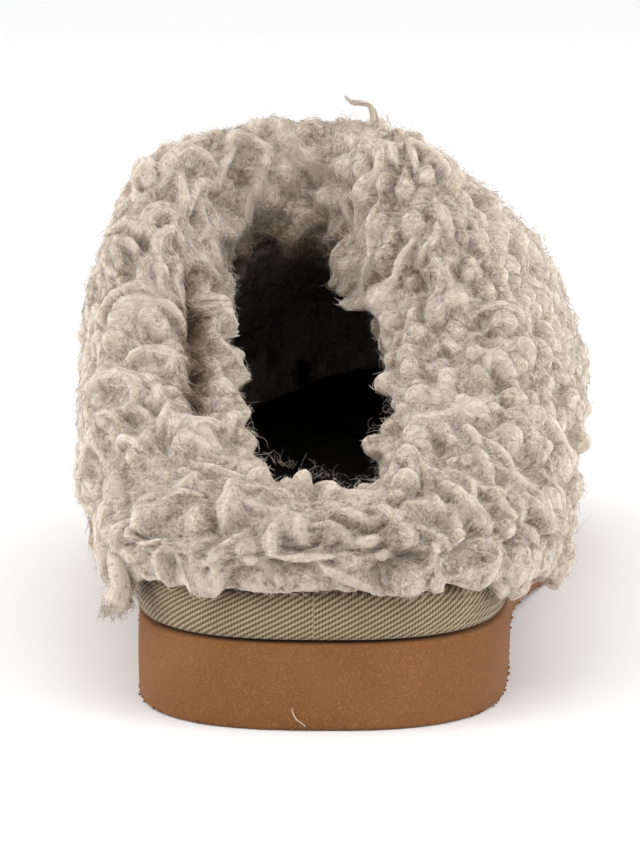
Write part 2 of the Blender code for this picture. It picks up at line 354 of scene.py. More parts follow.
def twill_material():
    """Khaki twill: the ribs are in the mesh, and their colour is darker in the grooves and paler on the
    crests and threads: painted shade and painted highlight.
    """
    made, shader, node, links = nodes_of("khaki_twill", 0.90, sheen=0.15, specular=0.2)
    place = node("ShaderNodeUVMap", uv_map="weave").outputs["UV"]
    parts = node("ShaderNodeSeparateXYZ", {"Vector": place})
    run, rise = parts.outputs["X"], parts.outputs["Y"]

    def maths(operation, a, b):
        return node("ShaderNodeMath", {0: a, 1: b}, operation=operation).outputs[0]

    def wave(value):
        return node("ShaderNodeMath", {0: value}, operation="SINE").outputs[0]

    turn = 2 * math.pi / RIB_PITCH
    rib = wave(maths("SUBTRACT", maths("MULTIPLY", run, turn * math.sin(RIB_SLOPE)),
                     maths("MULTIPLY", rise, turn * math.cos(RIB_SLOPE))))
    thread = wave(maths("MULTIPLY", run, 2 * math.pi / (0.62 * MM)))
    height = maths("ADD", maths("MULTIPLY", rib, 0.7), maths("MULTIPLY", thread, 0.3))
    level = node("ShaderNodeMapRange", {"Value": height, "From Min": -1.0, "From Max": 1.0})
    # Darker in the ribs' grooves and paler on their crests and threads: painted shade and painted highlight
    colour = ramp(node, level.outputs["Result"], [
        (0.05, (0.058, 0.040, 0.021)), (0.50, (0.216, 0.163, 0.096)), (0.95, (0.410, 0.325, 0.215)),
    ])
    clouds = node("ShaderNodeTexNoise", {
        "Vector": node("ShaderNodeTexCoord").outputs["Object"], "Scale": 130.0, "Detail": 2.0,
    })
    shaded = node("ShaderNodeMix", {
        "Factor": 1.0, "A": colour,
        "B": ramp(node, clouds.outputs["Fac"], [(0.3, (0.86, 0.86, 0.86)), (0.7, (1.1, 1.1, 1.1))]),
    }, data_type="RGBA", blend_type="MULTIPLY")
    links.new(shaded.outputs["Result"], shader.inputs["Base Color"])
    raised = node("ShaderNodeBump", {"Height": height, "Strength": 0.6, "Distance": 0.12 * MM})
    links.new(raised.outputs["Normal"], shader.inputs["Normal"])
    return made


# Outline of the sole, read from the outsole's solid

def node_points(name):
    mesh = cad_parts[name].data
    co = np.empty(len(mesh.vertices) * 3, np.float32)
    mesh.vertices.foreach_get("co", co)
    return co.reshape(-1, 3).astype(float)


def outline():
    """Points round the sole's upright edge, as x, y, underside and deck, from the heel's middle."""
    co = node_points("outsole")
    plan, index = np.unique(np.round(co[:, :2], 5), axis=0, return_inverse=True)
    index = index.ravel()
    low, high = np.full(len(plan), np.inf), np.full(len(plan), -np.inf)
    np.minimum.at(low, index, co[:, 2])
    np.maximum.at(high, index, co[:, 2])
    wall = high - low > 5 * MM
    ring = np.column_stack([plan, low, high])[wall]
    turn = np.mod(np.arctan2(ring[:, 1], ring[:, 0]) + math.pi / 2, 2 * math.pi)
    ring = ring[np.argsort(turn)]
    start = np.argmin(np.abs(ring[:, 0]) + (ring[:, 1] > 0))
    return np.roll(ring, -start, axis=0)


def closed_curve(ring, count):
    """Evenly spaced points of a smooth closed curve through a ring, and its length."""
    wrapped = np.concatenate([ring[-2:], ring, ring[:3]])
    at = np.concatenate([[0], np.cumsum(np.linalg.norm(np.diff(wrapped[:, :2], axis=0), axis=1))])
    slope = (wrapped[2:] - wrapped[:-2]) / (at[2:] - at[:-2])[:, None]
    wrapped, at = wrapped[1:-1], at[1:-1]

    def read(s):
        k = np.clip(np.searchsorted(at, s, side="right") - 1, 0, len(at) - 2)
        span = (at[k + 1] - at[k])[:, None]
        t = (s - at[k])[:, None] / span
        return (
            (2 * t**3 - 3 * t**2 + 1) * wrapped[k] + (t**3 - 2 * t**2 + t) * span * slope[k]
            + (3 * t**2 - 2 * t**3) * wrapped[k + 1] + (t**3 - t**2) * span * slope[k + 1]
        )

    fine = read(np.linspace(at[1], at[-2], 6000))
    walked = np.concatenate([[0], np.cumsum(np.linalg.norm(np.diff(fine[:, :2], axis=0), axis=1))])
    wanted = np.linspace(0, walked[-1], count, endpoint=False)
    return np.column_stack([np.interp(wanted, walked, fine[:, k]) for k in range(4)]), walked[-1]


def outward(ring):
    """Unit normals in plan of a ring of points that runs anticlockwise."""
    ahead = np.roll(ring[:, :2], -1, axis=0) - np.roll(ring[:, :2], 1, axis=0)
    return unit(np.column_stack([ahead[:, 1], -ahead[:, 0]]))


EDGE = outline()
SOLE_EDGE = 1.2 * MM
DECK_EDGE = 0.6 * MM
GAP = 0.3 * MM


def ring_at(ring, offset, height):
    return np.column_stack([ring[:, :2] + outward(ring) * np.broadcast_to(offset, len(ring))[:, None],
                            np.broadcast_to(height, len(ring))])


# Outsole

def make_outsole(material):
    """The foam slab with a softly rounded edge, and crumbs of foam along its lower edge."""
    count = 720
    ring, _ = closed_curve(EDGE, count)
    under, deck = ring[:, 2] - SOLE_EDGE, ring[:, 3] + DECK_EDGE
    ragged = noise(ring[:, :3] * [1, 1, 0], 2.5 * MM, 3) + 0.6 * noise(ring[:, :3] * [1, 1, 0], 0.9 * MM, 4)
    rings = [ring_at(ring, -6 * MM, under)]
    for turn in (0.0, 30.0, 60.0, 90.0):
        a = math.radians(turn)
        out = -SOLE_EDGE * (1 - math.sin(a)) + 0.10 * MM * ragged * math.cos(a)
        rings.append(ring_at(ring, out, under + SOLE_EDGE * 0.7 * (1 - math.cos(a))))
    for share in (0.25, 0.5, 0.75, 1.0):
        low = under + SOLE_EDGE * 0.7
        bow = 0.25 * MM * math.sin(math.pi * share) + 0.05 * MM * ragged * (1 - share)
        rings.append(ring_at(ring, bow, low + (deck - DECK_EDGE - low) * share))
    rings += [ring_at(ring, -DECK_EDGE * 0.3, deck - DECK_EDGE * 0.3), ring_at(ring, -DECK_EDGE, deck)]
    rings.append(ring_at(ring, -6 * MM, deck))
    low_quads, low_ends = ladder_faces(0, count, flip=True)
    top_quads, top_ends = ladder_faces((len(rings) - 1) * count, count, flip=False)
    faces = [ring_faces(len(rings), count, closed=False), low_quads, top_quads, low_ends, top_ends]
    sole = mesh_object("outsole_foam", np.concatenate(rings), faces)
    sole.data.materials.append(material)
    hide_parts("outsole")
    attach(sole, "root")

    crumbs = 280
    pick = RANDOM.integers(0, count, crumbs)
    base = ring_at(ring, 0.0, under)[pick]
    base[:, 2] += RANDOM.uniform(0.25, 1.1, crumbs) * MM
    out = np.column_stack([outward(ring)[pick], RANDOM.uniform(-0.2, 0.35, crumbs)])
    out[:, :2] += RANDOM.normal(0, 0.5, (crumbs, 2))
    reach = RANDOM.uniform(0.15, 0.5, crumbs)[:, None] * MM * unit(out)
    way = np.linspace(-0.5, 1.0, 4)
    paths = base[:, None] + reach[:, None] * way[None, :, None]
    paths[..., 2] = np.maximum(paths[..., 2], 0.16 * MM)
    size = RANDOM.uniform(0.10, 0.32, crumbs)[:, None] * MM * np.array([0.8, 1.0, 0.75, 0.2])
    crumb = tubes(paths, size, 5, np.full(crumbs, 0.4), np.tile(way, (crumbs, 1)))
    made = hair_object("sole_crumbs", [crumb])
    made.data.materials.append(material)
    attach(made, "root")


# Binding tape

TAPE_ROWS = (
    # Round the tape's section in mm: past the sole's edge, and above the deck
    (-2.4, 0.1), (-1.3, 0.3), (-0.25, 0.75), (0.25, 1.9), (0.50, 3.5), (0.55, 5.2),
    (0.40, 6.8), (0.05, 8.2), (-0.6, 9.2), (-1.6, 9.5), (-2.8, 8.6), (-2.9, 1.5),
)


def make_tape(material):
    """The twill band round the deck, with diagonal ribs in its face and rolled edges."""
    count = 1680
    ring, length = closed_curve(EDGE, count)
    deck = ring[:, 3] + DECK_EDGE + GAP
    run = np.arange(count) * length / count
    loose = noise(ring[:, :3] * [1, 1, 0], 24 * MM, 8)
    turn = round(length * math.sin(RIB_SLOPE) / RIB_PITCH) * 2 * math.pi / length
    rings, rises = [], []
    for out, rise in TAPE_ROWS:
        shown = smooth_step(-0.6, 0.1, out)
        rib = np.sin(run * turn - rise * MM * 2 * math.pi * math.cos(RIB_SLOPE) / RIB_PITCH)
        swell = out * MM + 0.25 * MM * loose * shown + RIB_DEPTH * rib * shown
        lift = rise * MM + 0.35 * MM * loose * smooth_step(6, 9, rise)
        rings.append(ring_at(ring, swell, deck + lift))
        rises.append(rise * MM)
    faces = ring_faces(len(rings), count, closed=True)
    r, k = np.meshgrid(np.arange(len(rings)), np.arange(count), indexing="ij")
    high = np.array(rises + rises[:1])
    run_at = np.append(run, length)
    near, far, low, top = run_at[k], run_at[k + 1], high[r], high[r + 1]
    weave = np.stack([near, low, far, low, far, top, near, top], axis=-1).reshape(-1, 4, 2)
    lines = 8
    row = (k * lines) // count
    each = count // lines
    u0, u1 = (k - row * each) / each, (k + 1 - row * each) / each
    v0, v1 = (row + (r + 0.05) / len(rings)) / lines, (row + (r + 0.95) / len(rings)) / lines
    folded = np.stack([u0, v0, u1, v0, u1, v1, u0, v1], axis=-1).reshape(-1, 4, 2)
    tape = mesh_object("twill_band", np.concatenate(rings), [faces], [folded], [("weave", [weave])])
    tape.data.materials.append(material)
    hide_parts("binding_tape")
    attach(tape, "root")


# Fleece

FULLER = [
    # (middle, reach, push), in mm: where the fleece hangs fuller or thinner than the upper's solid
    ((-14, -4, 78), 10, (0, -2, -3)),
    ((-4, 0, 80), 12, (0, -3, -4)),
    ((7, -7, 79), 10, (-1, -2, -3)),
    ((-6, 8, 102), 30, (0, 0, 2)),
    ((-33, -8, 93), 11, (2, 0, -3)),
    ((14, -22, 72), 17, (-10, 0, -3)),
    ((18, -60, 58), 16, (-7, 0, 1)),
    ((18, -92, 50), 13, (-8, 0, 1)),
    ((-17, -85, 52), 14, (3, 0, 0)),
    ((-22, -58, 63), 20, (5, 0, 0)),
    ((-15, -104, 50), 9, (-2, -1, -2)),
    ((3, -122, 44), 15, (0, 1, 4.5)),
    ((43, -88, 33), 24, (6, 0, -2)),
    ((52, -50, 56), 22, (4, 0, 0)),
    ((50, -35, 45), 28, (4, 0, 0)),
    ((-44, -85, 35), 25, (-2, 0, -1)),
]
LOBES = [
    # (middle, reach, drop), in mm: tufts that hang over the tape
    ((-41, -107, 29), 8.0, 5.5),
    ((-20, -133, 29), 3.5, 2.5),
    ((13, -136, 29), 4.0, 1.6),
    ((38, -112, 29), 8.0, 3.5),
    ((47, -88, 29), 9.0, 4.5),
    ((48, -68, 29), 11.0, 3.5),
]
KNOBS = [
    # Places in mm of curls put in one by one: three on the heel, two at the rim, five over the throat
    (19.6, -134.4, 30.5), (24.0, -131.0, 31.5), (34.0, -112.0, 31.0), (4.0, -46.0, 72.0), (9.0, -50.0, 69.0),
    (-10.0, -3.0, 93.0), (-2.0, -4.0, 88.0), (3.0, -7.0, 94.0), (-7.0, -4.0, 83.0), (-13.0, -5.0, 87.0),
]
RIM_WISPS = [
    # Places in mm round the back of the opening, where fine wisps stand up
    (-17, -92, 52), (-14, -104, 49), (-6, -112, 47), (3, -114, 47),
    (11, -110, 47), (16, -100, 49), (16, -86, 53), (14, -70, 58),
]
# Locks given one by one: places in mm, and the thickness at each
STRAY_CURL = (
    [(8.5, 0, 99), (8.8, -1, 104), (8.2, -1.5, 107),
     (5.8, -1.5, 107.7), (3.8, -1.5, 107.3), (2.6, -1.5, 108.9)],
    [0.8, 0.6, 0.45, 0.4, 0.3, 0.1],
)
STRAY_STRANDS = 9
STRAND_THICK = [0.22, 0.22, 0.20, 0.18, 0.14, 0.05]
HANGING_TUFT = (
    [(-37.5, -110.5, 33), (-37.2, -112.5, 29.5), (-36.7, -114.5, 26.5), (-36.6, -115.5, 24),
     (-37.2, -116, 22.2), (-38.2, -116, 20.6)],
    [2.0, 2.2, 2.2, 2.6, 2.9, 1.7],
)
STRAY_FIBRE = (
    [(-2.6, -130.85, 4.6), (-2.2, -131.0, 3.2), (-1.5, -131.05, 2.2),
     (-0.6, -131.05, 1.7), (0.1, -131.0, 1.0)],
    [0.05, 0.09, 0.09, 0.08, 0.05],
)


def near_tree(points):
    """A tree that finds the nearest of some points."""
    tree = KDTree(len(points))
    for number, point in enumerate(points):
        tree.insert(point, number)
    tree.balance()
    return tree


TAPE_CLEAR_UP = 1.2 * MM
TAPE_CLEAR_OUT = 1.3 * MM
INSOLE_CLEAR = 0.75 * MM
TAPE_INNER = -3.1 * MM
HIDE_INNER = -5.4 * MM
RIM, _ = closed_curve(EDGE, 400)
RIM_TREE = near_tree(RIM[:, :3] * [1, 1, 0])


def past_edge(points):
    """How far points lie outside the sole's outline in plan, and above the tape's top."""
    near = np.array([RIM_TREE.find(p)[1] for p in (points * [1, 1, 0]).tolist()])
    out = ((points - RIM[near, :3])[:, :2] * outward(RIM)[near]).sum(-1)
    return out, points[:, 2] - RIM[near, 3] - DECK_EDGE - GAP - TAPE_HEIGHT


class Pelt:
    """The upper's solid as a surface to grow fleece on."""

    def __init__(self, node):
        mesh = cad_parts[node].data
        mesh.calc_loop_triangles()
        tri = np.empty(len(mesh.loop_triangles) * 3, np.int32)
        mesh.loop_triangles.foreach_get("vertices", tri)
        points, index = np.unique(np.round(node_points(node), 6), axis=0, return_inverse=True)
        push = np.zeros_like(points)
        for middle, reach, way in FULLER:
            far = np.linalg.norm(points - np.array(middle) * MM, axis=1) / (reach * MM)
            push += np.exp(-far**2)[:, None] * np.array(way) * MM
        _, above = past_edge(points)
        points = points + push * smooth_step(0, 4 * MM, above)[:, None]
        self.points, self.tri = points, index.ravel()[tri.reshape(-1, 3)]
        corner = points[self.tri]
        cross = np.cross(corner[:, 1] - corner[:, 0], corner[:, 2] - corner[:, 0])
        self.area = np.linalg.norm(cross, axis=1) / 2
        normals = np.zeros_like(points)
        for k in range(3):
            np.add.at(normals, self.tri[:, k], cross)
        self.normals = self.even(unit(normals), corner.mean(axis=1), cross)
        self.tree = BVHTree.FromPolygons(points.tolist(), self.tri.tolist())

    def even(self, normals, middles, crosses):
        """Normals that take in the faces round them, so that they don't turn sharply at an edge."""
        tree, reach = near_tree(middles), 7 * MM
        made = normals.copy()
        for k, (point, normal) in enumerate(zip(self.points, normals)):
            found = tree.find_range(point, reach)
            cross = crosses[[f[1] for f in found]].reshape(-1, 3)
            weight = 1 - np.array([f[2] for f in found]) / reach
            alike = cross @ normal > 0.15 * np.linalg.norm(cross, axis=1)
            if alike.any():
                made[k] = (cross[alike] * weight[alike, None]).sum(axis=0)
        return unit(made)

    def scatter(self, count):
        """Random points, even over the surface, with smooth normals."""
        face = RANDOM.choice(len(self.tri), count, p=self.area / self.area.sum())
        a, b = np.sqrt(RANDOM.random(count)), RANDOM.random(count)
        share = np.column_stack([1 - a, a * (1 - b), a * b])
        return self.read(face, share)

    def read(self, face, share):
        corners = self.tri[face]
        place = (self.points[corners] * share[..., None]).sum(axis=1)
        return place, unit((self.normals[corners] * share[..., None]).sum(axis=1))

    def nearest(self, points):
        """The surface's nearest places to points, with smooth normals."""
        flat = points.reshape(-1, 3)
        hits = [self.tree.find_nearest(p) for p in flat.tolist()]
        place = np.array([h[0] for h in hits])
        corner = self.points[self.tri[[h[2] for h in hits]]]
        e0, e1, d = corner[:, 1] - corner[:, 0], corner[:, 2] - corner[:, 0], place - corner[:, 0]
        d00, d01, d11 = (e0 * e0).sum(1), (e0 * e1).sum(1), (e1 * e1).sum(1)
        d20, d21 = (d * e0).sum(1), (d * e1).sum(1)
        low = np.maximum(d00 * d11 - d01 * d01, 1e-20)
        v, w = (d11 * d20 - d01 * d21) / low, (d00 * d21 - d01 * d20) / low
        place, normal = self.read(np.array([h[2] for h in hits]), np.column_stack([1 - v - w, v, w]))
        return place.reshape(points.shape), normal.reshape(points.shape)

    def faces_inside(self, points, normals):
        """True where a point looks at another part of the surface: the lining."""
        starts, ways = (points + normals * 1 * MM).tolist(), normals.tolist()
        return np.array([self.tree.ray_cast(s, w, 0.2)[0] is not None for s, w in zip(starts, ways)])


def thin_out(points, spacing):
    """Numbers of the points kept when each keeps its own distance, taken in order."""
    spacing = np.broadcast_to(spacing, len(points))
    cell = spacing.max()
    grid, kept = {}, []
    for k, (p, s) in enumerate(zip(points.tolist(), spacing.tolist())):
        key = tuple(int(math.floor(x / cell)) for x in p)
        near = (
            q
            for dx in (-1, 0, 1) for dy in (-1, 0, 1) for dz in (-1, 0, 1)
            for q in grid.get((key[0] + dx, key[1] + dy, key[2] + dz), ())
        )
        if all((p[0] - q[0]) ** 2 + (p[1] - q[1]) ** 2 + (p[2] - q[2]) ** 2 > s * s for q in near):
            grid.setdefault(key, []).append(p)
            kept.append(k)
    return np.array(kept)


PELT = Pelt("upper")
THROAT_Y = 0.005


def clear_of_sole(points):
    """Points of the fleece moved the shortest way out of the tape, or up off the insole."""
    near = np.array([RIM_TREE.find(p)[1] for p in (points * [1, 1, 0]).tolist()])
    way = outward(RIM)[near]
    out, above = past_edge(points)
    lift, shift = TAPE_CLEAR_UP - above, TAPE_CLEAR_OUT - out
    band = (out > TAPE_INNER) & (shift > 0) & (lift > 0)
    up, aside = band & (lift < shift), band & (lift >= shift)
    low = (out < HIDE_INNER) & (above < INSOLE_CLEAR)
    made = points.copy()
    made[up, 2] += lift[up]
    made[aside, :2] += way[aside] * shift[aside][:, None]
    made[low, 2] += INSOLE_CLEAR - above[low]
    return made


def woolly(points, slack=0.0):
    """True where the upper's surface carries fleece that can be seen, and not at its tucked foot."""
    out, above = past_edge(points)
    return (above > 1.5 * MM - slack) | ((out > -0.5 * MM - slack) & (above > -0.2 * MM - slack))


def tuft_centres():
    points, _ = PELT.scatter(30000)
    points = points[woolly(points)]
    return points[thin_out(points, TUFT_SPACING)]


TUFTS = tuft_centres()
TUFT_TREE = near_tree(TUFTS)
TUFT_SWIRL = RANDOM.uniform(-1, 1, len(TUFTS))
TUFT_TINT = RANDOM.random(len(TUFTS))


def tuft_at(points):
    """The nearest tuft's number for each point, and how far the fleece stands up there."""
    found = [TUFT_TREE.find_n(p, 2) for p in points.tolist()]
    number = np.array([f[0][1] for f in found])
    near, far = np.array([f[0][2] for f in found]), np.array([f[1][2] for f in found])
    crease = smooth_step(0.0, 0.45, (far - near) / TUFT_SPACING)
    return number, TUFT_RELIEF * (crease - 0.60) + 1.0 * MM * noise(points, 26 * MM, 29)


PAINTED_LIGHT_AND_FOLDS = [
    # (path, width, depth, share of the light left), in mm: two carved grooves darkened with painted shade,
    # two bands of painted shade under the throat's lip, and a band of painted light over the throat
    ([(-22, -42, 77), (-23, -53, 72.5), (-23, -61, 67.5), (-23, -72, 62), (-22, -88, 57.5)], 4.2, 4.2, 0.10),
    ([(-4, -2, 92), (-1, -4, 85), (1, -6, 79)], 4.0, 1.2, 0.90),
    ([(-20, -12, 66), (-15, 0, 70), (-5, 0, 70), (3, -8, 70)], 6.0, 0.0, 0.12),
    ([(-19, -12, 73), (-12, -2, 76.5), (0, -2, 76.5), (6, -10, 75.5)], 6.5, 0.0, 0.25),
    ([(-14, -2, 97), (-5, 0, 96), (5, -4, 97)], 9.0, 0.0, 1.25),
]


def fold_depth_and_painted_light(points):
    """Depth of the listed grooves at points, and the light left there: painted shade below 1, painted light
    above 1.
    """
    depth, light = np.zeros(len(points)), np.ones(len(points))
    for path, width, deepest, left in PAINTED_LIGHT_AND_FOLDS:
        path = np.array(path) * MM
        far = np.full(len(points), np.inf)
        for start, end in zip(path[:-1], path[1:]):
            run = end - start
            t = np.clip(((points - start) @ run) / (run @ run), 0, 1)
            far = np.minimum(far, np.linalg.norm(points - start - t[:, None] * run, axis=1))
        near = np.exp(-(far / (width * MM)) ** 2)
        depth += deepest * MM * near
        light *= 1 - (1 - left) * near
    return depth, light


def deep(points, inside):
    """How far into the dark of the slipper a lining point lies, from 0 to 1. The fleece's colour is darkened
    by it: painted shade.
    """
    return inside * smooth_step(-55 * MM, -8 * MM, points[:, 1] - THROAT_Y - 0.5 * points[:, 2])


def flow(points, normals, inside):
    """The way the fleece is combed, wandering from place to place.

    It hangs down and back on the sides, fans out down the heel, and goes over the rim into the opening.
    """
    way = np.tile([0.0, -0.45, -1.0], (len(points), 1))
    heel = smooth_step(-75 * MM, -110 * MM, points[:, 1])[:, None]
    fan = np.column_stack([0.4 + np.sign(points[:, 0]) * 0.5, 0 * points[:, 0], -0.75 + 0 * points[:, 0]])
    way = way * (1 - heel) + fan * heel
    inward = np.column_stack([-0.35 * np.sign(points[:, 0]), 0.3 + 0 * points[:, 0], -0.9 + 0 * points[:, 0]])
    _, above = past_edge(points)
    hanging = np.column_stack([0.6 * noise(points, 18 * MM, 33), -0.2 + 0 * above, -1 + 0 * above])
    share = smooth_step(14 * MM, 4 * MM, above)[:, None]
    way = np.where(inside[:, None], inward, way * (1 - share) + hanging * share)
    combed = across(way + 1e-6, normals)
    wander = 1.1 * noise(points, 30 * MM, 31) + 0.8 * noise(points, 12 * MM, 32)
    return combed * np.cos(wander)[:, None] + np.cross(normals, combed) * np.sin(wander)[:, None]


def crawl(points, normals, heading, turning, length):
    """Paths that crawl over the upper, and its normals there. turning is the heading's angle by step."""
    steps = turning.shape[1]
    step = (length / (steps - 1))[:, None]
    first = turning[:, :1]
    ahead = heading * np.cos(first) + np.cross(normals, heading) * np.sin(first)
    places, ups = [points], [normals]
    for k in range(1, steps):
        turn = turning[:, k:k + 1] - turning[:, k - 1:k]
        ahead = ahead * np.cos(turn) + np.cross(ups[-1], ahead) * np.sin(turn)
        place, up = PELT.nearest(places[-1] + ahead * step)
        ahead = across(ahead, up)
        places.append(place)
        ups.append(up)
    flat, normal = np.stack(places, axis=1), np.stack(ups, axis=1)
    for k in range(2):
        flat[:, 1:-1] = (flat[:, :-2] + 2 * flat[:, 1:-1] + flat[:, 2:]) / 4
        normal[:, 1:-1] = (normal[:, :-2] + 2 * normal[:, 1:-1] + normal[:, 2:]) / 4
    return flat, unit(normal)


def whole(flat):
    """True for paths that stay on one face of the wall and don't jump across it."""
    pace = np.linalg.norm(np.diff(flat, axis=1), axis=-1)
    return pace.max(axis=1) < 2.2 * np.median(pace, axis=1)


def between(low, high, count):
    """A column of random numbers."""
    return RANDOM.uniform(low, high, (count, 1))


def either(count):
    """A column of random signs."""
    return np.where(RANDOM.random((count, 1)) < 0.5, 1.0, -1.0)


def puffs(points, normals, heading, q):
    """Round cottony curls, each wound up in a spiral."""
    count = len(points)
    flat = points[:, None] + heading[:, None] * (between(0.02, 2.4, count) * MM * q)[..., None]
    size = 1.8 + 2.3 * RANDOM.random((count, 1)) ** 1.4
    height = (between(-0.5, 0.7, count) + 0.25 * size) * MM * np.ones_like(q)
    return flat, np.repeat(normals[:, None], q.shape[1], axis=1), height, size * MM * np.ones_like(q)


def waves(points, normals, heading, q):
    """Long soft locks that rise in an arc and fall the way the fleece is combed."""
    count = len(points)
    same = np.where(RANDOM.random(count) < 0.85, 1, -1) * np.sign(noise(points, 15 * MM, 43))
    turning = same[:, None] * between(1.0, 3.6, count) * (q - 1)
    turning = turning + between(0.1, 0.4, count) * np.sin(8 * q + between(0, 6.3, count))
    flat, normal = crawl(points, normals, heading, turning, between(14, 23, count)[:, 0] * MM)
    height = (-1.6 + 1.6 * smooth_step(0, 0.3, q) + between(-0.4, 0.8, count) * q) * MM
    spread = between(1.7, 3.0, count) * MM * (0.6 + 0.4 * smooth_step(0, 0.3, q)) * (1 - 0.6 * q**3)
    return flat, normal, height, spread


def feathers(points, normals, heading, q):
    """Brushed tufts that taper to their tips."""
    count = len(points)
    turning = RANDOM.normal(0, 0.6, (count, 1)) * q + 0.2 * np.sin(6 * q + between(0, 6.3, count))
    flat, normal = crawl(points, normals, heading, turning, between(8, 14, count)[:, 0] * MM)
    height = (-1.6 + 1.6 * smooth_step(0, 0.4, q) + between(-0.2, 0.8, count) * q - 0.8 * q**4) * MM
    spread = between(1.4, 2.2, count) * MM * (0.6 + 0.4 * smooth_step(0, 0.5, q)) * (1 - 0.45 * q**3)
    return flat, normal, height, spread


LOCK_KINDS = {
    # kind: its maker, steps along it, and how full and how blunt its cross-section is
    "puff": (puffs, 2, 0.95, 0.70),
    "wave": (waves, 13, 0.58, 1.05),
    "feather": (feathers, 9, 0.60, 1.00),
}


def lock_kinds(points, inside):
    """The kind of lock for each root: puffs on the inner side, waves outside, brushed tufts behind."""
    heel = smooth_step(-85 * MM, -112 * MM, points[:, 1])
    inner = smooth_step(-12 * MM, 25 * MM, points[:, 0])
    patch = noise(points, 24 * MM, 41)
    puff = 0.16 + 0.56 * inner * (1 - 0.5 * heel) + 0.12 * heel + 0.25 * patch - 0.10 * inside
    puff = np.clip(puff, 0.06, 0.85)
    feather = np.clip(0.25 + 0.42 * heel + 0.35 * inside - 0.15 * patch, 0.05, 0.9)
    draw = RANDOM.random(len(points))
    return np.where(draw < puff, "puff", np.where(draw < puff + feather, "feather", "wave"))


def lock_roots():
    """Roots of the locks, closer at the back than at the toe and deep inside."""
    points, normals = PELT.scatter(60000)
    keep = woolly(points)
    points, normals = points[keep], normals[keep]
    inside = PELT.faces_inside(points, normals)
    dark = deep(points, inside)
    front = smooth_step(-20 * MM, 30 * MM, points[:, 1]) * ~inside
    kept = thin_out(points, LOCK_SPACING * (1 + 0.15 * inside + 1.2 * dark + 0.10 * front))
    knobs, knob_normals = PELT.nearest(np.array(KNOBS) * MM)
    none = np.zeros(len(KNOBS))
    return (
        np.concatenate([points[kept], knobs]), np.concatenate([normals[kept], knob_normals]),
        np.concatenate([inside[kept], none > 0]), np.concatenate([dark[kept], none]),
    )


def make_locks():
    """All locks, as a list of one dict of arrays for each kind."""
    points, normals, inside, dark = lock_roots()
    kinds = lock_kinds(points, inside)
    kinds[-len(KNOBS):] = "puff"
    tuft, stand = tuft_at(points)
    stand[-len(KNOBS):] = KNOB_STAND
    swirl = np.cross(normals, across(points - TUFTS[tuft] + 1e-7, normals)) * TUFT_SWIRL[tuft][:, None]
    combed = flow(points, normals, inside) + 0.7 * swirl
    heading = across(combed + RANDOM.normal(0, 0.3, points.shape), normals)
    tint = np.clip(0.25 + 0.4 * TUFT_TINT[tuft] + RANDOM.normal(0, 0.12, len(points)), 0.0, 0.85)
    stand = stand + RANDOM.normal(0, 0.6 * MM, len(points)) - OUTER_TRIM * ~inside
    locks = []
    for kind, (maker, steps, full, blunt) in LOCK_KINDS.items():
        here = np.flatnonzero(kinds == kind)
        q = np.linspace(0, 1, steps)[None]
        made = maker(points[here], normals[here], heading[here], q)
        kept = whole(made[0])
        here = here[kept]
        flat, _, height, spread = (values[kept] for values in made)
        raised = (stand[here] + OUTER_TRIM * ~inside[here])[:, None]
        # Random tone, plus painted light on the locks that stand higher
        tone_and_painted_light = RANDOM.normal(0.0, 0.08, (len(here), 1)) + 40 * raised
        locks.append({
            "flat": flat, "height": height + stand[here][:, None], "spread": spread, "tint": tint[here],
            # shade grows paler to the tip; light is painted shade deep inside the slipper
            "shade": np.clip(0.48 + 0.24 * q + tone_and_painted_light, 0.25, 0.9), "light": 1 - dark[here],
            "coil": (kind == "puff") * (between(1.2, 2.0, len(here)) * either(len(here)))[:, 0],
            "full": full, "blunt": blunt,
        })
    return locks


def refine(points, tri, longest):
    """Splits the edges that are longer than longest(middles), again and again, and keeps the mesh whole."""
    while True:
        pairs = np.sort(tri[:, [[0, 1], [1, 2], [2, 0]]].reshape(-1, 2), axis=1)
        edges, index = np.unique(pairs, axis=0, return_inverse=True)
        ends = points[edges]
        middles = ends.mean(axis=1)
        split = np.linalg.norm(ends[:, 0, :3] - ends[:, 1, :3], axis=1) > longest(middles)
        if not split.any():
            return points, tri
        new = np.where(split, len(points) + np.cumsum(split) - 1, -1)[index.reshape(-1, 3)]
        points = np.concatenate([points, middles[split]])
        cut = (new >= 0).sum(axis=1)
        first = np.where(cut == 1, np.argmax(new >= 0, axis=1), (np.argmin(new >= 0, axis=1) + 1) % 3)
        turned = (first[:, None] + np.arange(3)) % 3
        (a, b, c), (ab, bc, ca) = np.take_along_axis(tri, turned, 1).T, np.take_along_axis(new, turned, 1).T
        children = [tri[cut == 0]]
        for number, parts in (
            (1, [(a, ab, c), (ab, b, c)]),
            (2, [(ab, b, bc), (a, ab, bc), (a, bc, c)]),
            (3, [(a, ab, ca), (ab, b, bc), (ca, bc, c), (ab, bc, ca)]),
        ):
            children += [np.stack(part, axis=1)[cut == number] for part in parts]
        tri = np.concatenate(children)


def dense(values, steps):
    """Values between the steps of each path, by straight lines."""
    at = np.linspace(0, values.shape[1] - 1, steps)
    low = np.minimum(at.astype(int), values.shape[1] - 2)
    part = (at - low).reshape(1, -1, *[1] * (values.ndim - 2))
    return values[:, low] * (1 - part) + values[:, low + 1] * part


